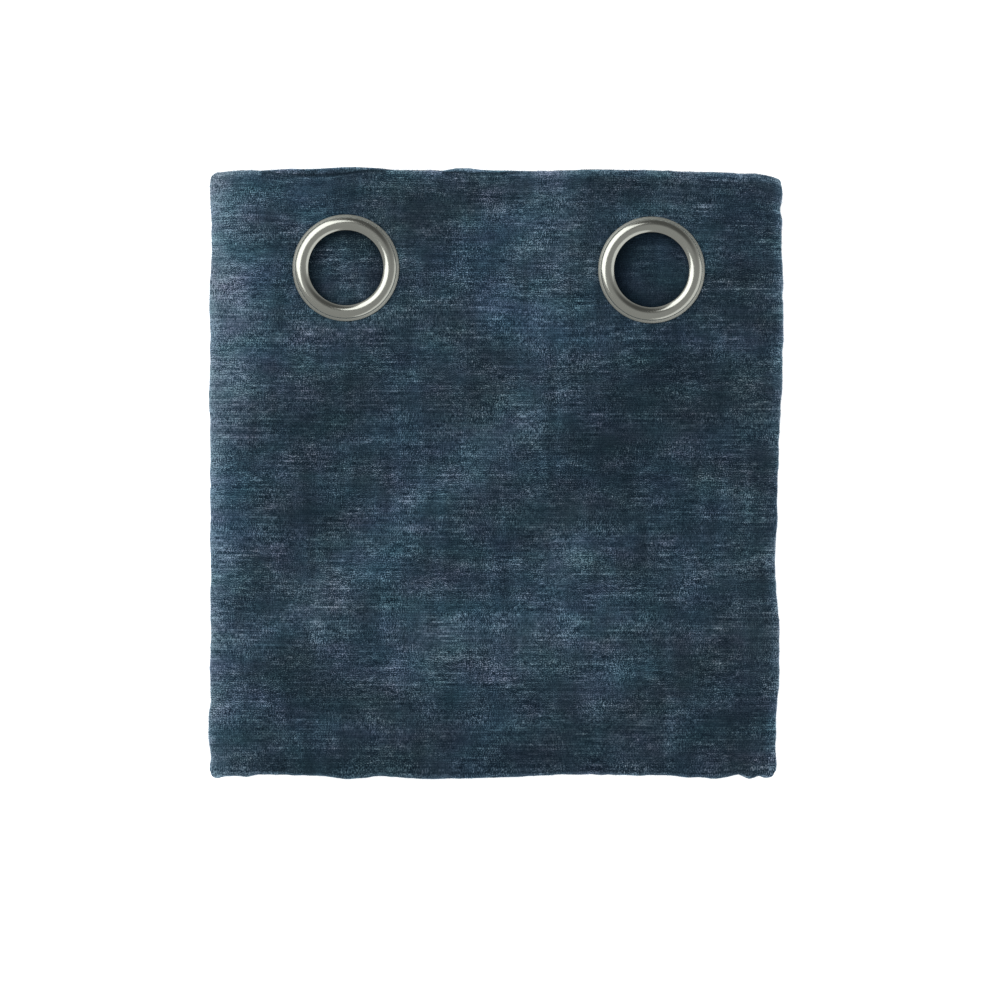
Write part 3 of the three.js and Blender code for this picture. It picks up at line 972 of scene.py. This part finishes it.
# The yarn: the weft's pitch in millimetres, the tone between dark and light, how strongly
# rows pair up, and how much of the darkest to lightest range a tone of one spans
ROW_PITCH = 1.4
MIDDLE_TONE = 0.404
PAIRED_ROWS = 0.075
RAMP_SHARE = 0.8
UNTINTED = (1.0, 1.0, 1.0, 1.0)
DARK_TO_LIGHT = (
    (0.0, srgb(6, 23, 36)),
    (0.2, srgb(23, 42, 56)),
    (0.4, srgb(45, 64, 78)),
    (0.6, srgb(76, 97, 113)),
    (0.8, srgb(118, 138, 154)),
    (1.0, srgb(160, 179, 195)),
)
VIOLET_TO_GREEN = (
    (0.3, (1.13, 0.95, 1.03, 1.0)),
    (0.5, UNTINTED),
    (0.7, (0.87, 1.05, 0.985, 1.0)),
)
RED_TO_BLUE = (
    (0.3, (1.09, 1.0, 0.94, 1.0)),
    (0.5, UNTINTED),
    (0.7, (0.91, 1.0, 1.06, 1.0)),
)
BLUER_WHERE_LIGHT = (
    (0.36, (1.1, 1.0, 0.95, 1.0)),
    (0.5, UNTINTED),
    (0.62, (0.89, 1.0, 1.05, 1.0)),
    (0.95, (0.93, 1.0, 1.04, 1.0)),
)
BUMP_DEPTH = 0.5 * MM


def chenille_yarn():
    """Tone, hue and height of weft rows of slubby chenille over a fine warp."""
    group = bpy.data.node_groups.new("Chenille Yarn", "ShaderNodeTree")
    face = group.interface
    for name, value in (("Row Pitch", ROW_PITCH), ("Contrast", 1.0)):
        socket = face.new_socket(name, in_out="INPUT", socket_type="NodeSocketFloat")
        socket.default_value = value
    face.new_socket("Flat", in_out="INPUT", socket_type="NodeSocketVector")
    face.new_socket("Painted Light", in_out="INPUT", socket_type="NodeSocketFloat")
    face.new_socket("Color", in_out="OUTPUT", socket_type="NodeSocketColor")
    face.new_socket("Height", in_out="OUTPUT", socket_type="NodeSocketFloat")
    face.new_socket("Roughness", in_out="OUTPUT", socket_type="NodeSocketFloat")
    m = Maker(group)
    given = m.node("NodeGroupInput").outputs
    flat = m.node("ShaderNodeSeparateXYZ", {"Vector": given["Flat"]}).outputs
    u = m.sum("DIVIDE", flat["X"], MM)
    v = m.sum("DIVIDE", flat["Y"], MM)

    def cloud(width, height, seed, detail=2.0):
        """Noise of this width and height in millimetres, with a seed of its own."""
        place = m.vector(m.sum("DIVIDE", u, width), m.sum("DIVIDE", v, height), seed)
        return m.noise(place, detail)

    wander = m.sum("MULTIPLY", m.sum("SUBTRACT", cloud(90.0, 40.0, 3.0), 0.5), 3.0)
    v_row = m.sum("ADD", v, wander)
    row = m.sum("DIVIDE", v_row, given["Row Pitch"])
    row_number = m.sum("FLOOR", row)
    off = m.sum("SUBTRACT", m.sum("MULTIPLY", m.sum("FRACT", row), 2.0), 1.0)
    crown = m.sum("SUBTRACT", 1.0, m.sum("MULTIPLY", off, off))

    def along_weft(length, row_step, seed):
        """Noise that changes along a weft row over this length, and from row to row."""
        row_place = m.sum("MULTIPLY", row_number, row_step)
        return m.noise(m.vector(m.sum("DIVIDE", u, length), row_place, seed))

    short_slub = along_weft(3.4, 7.37, 2.0)
    slub = along_weft(11.0, 5.41, 9.0)
    long_slub = along_weft(38.0, 3.43, 11.0)
    stray_line = m.remap(along_weft(15.0, 5.77, 17.0), 0.64, 0.76)
    every_other = m.sum("SUBTRACT", m.sum("MODULO", row_number, 2.0), 0.5)
    paired = m.remap(cloud(50.0, 14.0, 57.0), 0.35, 0.65, 0.0, PAIRED_ROWS)
    pairs = m.sum("MULTIPLY", every_other, paired)
    tuft = cloud(0.6, 0.6, 5.0, 1.0)
    warp = cloud(0.68, 3.2, 13.0, 1.0)
    warp_bands = cloud(6.5, 50.0, 47.0)
    weft_bands = cloud(70.0, 8.0, 51.0, 1.0)
    row_start = m.noise(m.vector(0.0, m.sum("MULTIPLY", row_number, 0.73), 61.0))
    u_row = m.sum("ADD", u, m.sum("MULTIPLY", m.sum("SUBTRACT", row_start, 0.5), 70.0))
    patch = m.noise(m.vector(m.sum("DIVIDE", u_row, 36.0), m.sum("DIVIDE", v, 24.0), 21.0), 3.0)
    broad = cloud(120.0, 90.0, 25.0, 1.0)
    worn = m.remap(cloud(22.0, 15.0, 41.0), 0.3, 0.7, 0.4, 1.3)
    open_weave = m.remap(cloud(24.0, 20.0, 43.0), 0.4, 0.66)
    weft_show = m.remap(open_weave, 0.0, 1.0, 1.1, 0.7)
    warp_show = m.remap(open_weave, 0.0, 1.0, 0.5, 1.4)

    # The crown paints light on the middle of each weft row and shade in the gaps between rows
    weft = m.weighted((short_slub, 0.7), (slub, 0.62), (long_slub, 0.53), (crown, 0.21))
    weft = m.sum("MULTIPLY", m.sum("ADD", weft, pairs), weft_show)
    warp_lines = m.sum("MULTIPLY", m.weighted((warp, 1.0)), warp_show)
    fine = m.sum("ADD", m.weighted((tuft, 2.4)), m.sum("ADD", weft, warp_lines))
    fine = m.sum("MULTIPLY", m.sum("ADD", fine, m.sum("MULTIPLY", stray_line, 0.15)), worn)
    lightness = m.weighted((patch, 0.33), (broad, 0.08), (warp_bands, 0.28), (weft_bands, 0.06))
    # The painted light, sheen and shade kept on the cloth lighten or darken its tone
    lightness = m.sum("ADD", lightness, given["Painted Light"])
    lively = m.remap(lightness, -0.36, 0.14, 0.6, 1.12)
    fine = m.sum("MULTIPLY", m.sum("MULTIPLY", fine, lively), given["Contrast"])
    tone = m.sum("ADD", m.sum("ADD", fine, lightness), MIDDLE_TONE)

    def ramp(value, stops):
        """Colours that blend from one place to the next."""
        made = m.node("ShaderNodeValToRGB", {"Fac": value})
        blend = made.color_ramp
        first, *between, last = stops
        blend.elements[0].position, blend.elements[0].color = first
        blend.elements[1].position, blend.elements[1].color = last
        for place, colour in between:
            blend.elements.new(place).color = colour
        return made.outputs["Color"]

    def tinted(colour, tint):
        made = m.node("ShaderNodeMix", data_type="RGBA", blend_type="MULTIPLY")
        m.feed(made, 0, 1.0)
        m.feed(made, 6, colour)
        m.feed(made, 7, tint)
        return made.outputs[2]

    shade = ramp(m.sum("MULTIPLY", tone, RAMP_SHARE), DARK_TO_LIGHT)
    violet_to_green = ramp(cloud(30.0, 18.0, 31.0, 3.0), VIOLET_TO_GREEN)
    red_to_blue = ramp(cloud(52.0, 38.0, 35.0), RED_TO_BLUE)
    # Bluer where the tone is lighter: it tints the painted light and sheen, and the cloth's own
    # lighter patches
    bluer = ramp(m.sum("ADD", lightness, 0.5), BLUER_WHERE_LIGHT)
    colour = tinted(tinted(tinted(shade, violet_to_green), red_to_blue), bluer)

    height = m.sum("ADD", m.sum("MULTIPLY", crown, 0.55), m.sum("MULTIPLY", tuft, 0.5))
    height = m.sum("ADD", height, m.sum("MULTIPLY", warp, 0.35))
    result = m.node("NodeGroupOutput")
    m.feed(result, "Color", colour)
    m.feed(result, "Height", height)
    m.feed(result, "Roughness", m.remap(tuft, 0.0, 1.0, 0.86, 0.96))
    return group


def new_material(name):
    material = bpy.data.materials.new(name)
    material.use_nodes = True
    material.node_tree.nodes.clear()
    m = Maker(material.node_tree)
    shader = m.node("ShaderNodeBsdfPrincipled")
    out = m.node("ShaderNodeOutputMaterial")
    m.tree.links.new(shader.outputs[0], out.inputs["Surface"])
    return material, m, shader


def chenille_cloth(yarn):
    material, m, shader = new_material("dark blue chenille")
    cloth = m.node("ShaderNodeGroup", node_tree=yarn)
    m.feed(cloth, "Flat", m.node("ShaderNodeUVMap", uv_map="flat").outputs["UV"])
    # The painted light and shade kept on the cloth and its fibres
    m.feed(cloth, "Painted Light", m.node("ShaderNodeAttribute", attribute_name="painted_light").outputs["Fac"])
    calm = m.node("ShaderNodeAttribute", attribute_name="calm").outputs["Fac"]
    m.feed(cloth, "Contrast", m.sum("SUBTRACT", 1.0, calm))
    bump = m.node("ShaderNodeBump", {
        "Strength": 0.6, "Distance": BUMP_DEPTH, "Height": cloth.outputs["Height"]})
    m.feed(shader, "Base Color", cloth.outputs["Color"])
    m.feed(shader, "Roughness", cloth.outputs["Roughness"])
    m.feed(shader, "Normal", bump.outputs["Normal"])
    m.feed(shader, "Specular IOR Level", 0.15)
    m.feed(shader, "Sheen Weight", 0.35)
    m.feed(shader, "Sheen Roughness", 0.4)
    m.feed(shader, "Sheen Tint", srgb(120, 165, 195))
    return material


DOME_ROUGHNESS = (0.12, 0.22)
SKIRT_ROUGHER = 0.36


def polished_nickel():
    """Bright on the dome, and duller on the skirt, where the ring was drawn down."""
    material, m, shader = new_material("polished nickel")
    place = m.node("ShaderNodeTexCoord").outputs["Object"]
    brushed = m.node("ShaderNodeAttribute", attribute_name="brushed").outputs["Fac"]
    smears = m.node("ShaderNodeTexNoise", {"Vector": place, "Scale": 130.0, "Detail": 3.0})
    waves = m.node("ShaderNodeTexNoise", {"Vector": place, "Scale": 38.0, "Detail": 0.0})
    rough = m.remap(smears.outputs["Fac"], 0.0, 1.0, *DOME_ROUGHNESS)
    rough = m.sum("ADD", rough, m.sum("MULTIPLY", brushed, SKIRT_ROUGHER))
    bump = m.node("ShaderNodeBump", {
        "Strength": 0.2, "Distance": BUMP_DEPTH, "Height": waves.outputs["Fac"]})
    m.feed(shader, "Base Color", srgb(176, 178, 170))
    m.feed(shader, "Metallic", 1.0)
    m.feed(shader, "Roughness", rough)
    m.feed(shader, "Normal", bump.outputs["Normal"])
    return material


# ------------------------ floor, lights, camera


# The camera looks straight down from this height in metres. The width that it takes in and
# its place beside the packet's middle are in millimetres
CAMERA_HEIGHT = 3.0
SEEN_WIDTH = 584.496
CAMERA_OFF = Vector((-1.5, -11.3, 0.0))
FLOOR_SIZE = 6.0


def pale_floor():
    shape = bmesh.new()
    bmesh.ops.create_grid(shape, x_segments=1, y_segments=1, size=FLOOR_SIZE)
    floor = finished("floor", shape)
    material, m, shader = new_material("pale floor")
    m.feed(shader, "Base Color", (0.9, 0.9, 0.9, 1.0))
    m.feed(shader, "Roughness", 0.9)
    m.feed(shader, "Emission Color", (1.0, 1.0, 1.0, 1.0))
    m.feed(shader, "Emission Strength", 0.8)
    floor.data.materials.append(material)


def direction(azimuth, zenith):
    azimuth, zenith = math.radians(azimuth), math.radians(zenith)
    return Vector((
        math.cos(azimuth) * math.sin(zenith),
        math.sin(azimuth) * math.sin(zenith),
        math.cos(zenith),
    ))


def softbox(name, azimuth, zenith, distance, size, radiance):
    """A flat light that faces the packet's middle and looks equally bright all over."""
    data = bpy.data.lights.new(name, "AREA")
    data.shape = "RECTANGLE"
    data.size, data.size_y = size
    data.energy = radiance * math.pi * size[0] * size[1]
    lamp = bpy.data.objects.new(name, data)
    way = direction(azimuth, zenith)
    lamp.location = way * distance
    lamp.rotation_euler = way.to_track_quat("Z", "Y").to_euler()
    bpy.context.scene.collection.objects.link(lamp)


def studio_walls(world):
    """Grey walls, darker to the upper right, where the room is open."""
    world.use_nodes = True
    m = Maker(world.node_tree)
    facing = m.node("ShaderNodeVectorMath", operation="DOT_PRODUCT")
    m.feed(facing, 0, m.node("ShaderNodeTexCoord").outputs["Generated"])
    m.feed(facing, 1, direction(azimuth=72, zenith=42))
    background = world.node_tree.nodes["Background"]
    background.inputs["Color"].default_value = (1.0, 1.0, 1.0, 1.0)
    strength = m.remap(facing.outputs["Value"], 0.78, 0.97, 0.45, 0.12, "SMOOTHSTEP")
    m.feed(background, "Strength", strength)


def studio():
    scene = bpy.context.scene
    scene.view_settings.view_transform = "Standard"
    scene.world = bpy.data.worlds.new("studio")
    studio_walls(scene.world)
    softbox("key", azimuth=143, zenith=41, distance=1.7, size=(1.75, 1.3), radiance=2.1)
    softbox("reflector", azimuth=328, zenith=58, distance=1.6, size=(2.9, 1.0), radiance=0.7)


def overhead_camera():
    data = bpy.data.cameras.new("overhead")
    data.sensor_width = 36.0
    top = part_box("heading_strip")[1].z
    data.lens = data.sensor_width * (CAMERA_HEIGHT - top) / (SEEN_WIDTH * MM)
    data.clip_end = 20.0
    camera = bpy.data.objects.new("overhead", data)
    camera.location = PACKET_MIDDLE + CAMERA_OFF * MM + Vector((0, 0, CAMERA_HEIGHT))
    bpy.context.scene.collection.objects.link(camera)
    bpy.context.scene.camera = camera


# ------------------------ the curtain

overhead_camera()
studio()
pale_floor()

chenille = chenille_cloth(chenille_yarn())
cloth = folded_cloth()
cloth.data.materials.append(chenille)
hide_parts("curtain_panel", "heading_strip")
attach(cloth, "root")

pile = loose_pile()
pile.data.materials.append(chenille)
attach(pile, "root")

nickel = polished_nickel()
for node in ("eyelet_left", "eyelet_right"):
    ring = eyelet(node)
    ring.data.materials.append(nickel)
    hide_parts(node)
    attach(ring, "root")
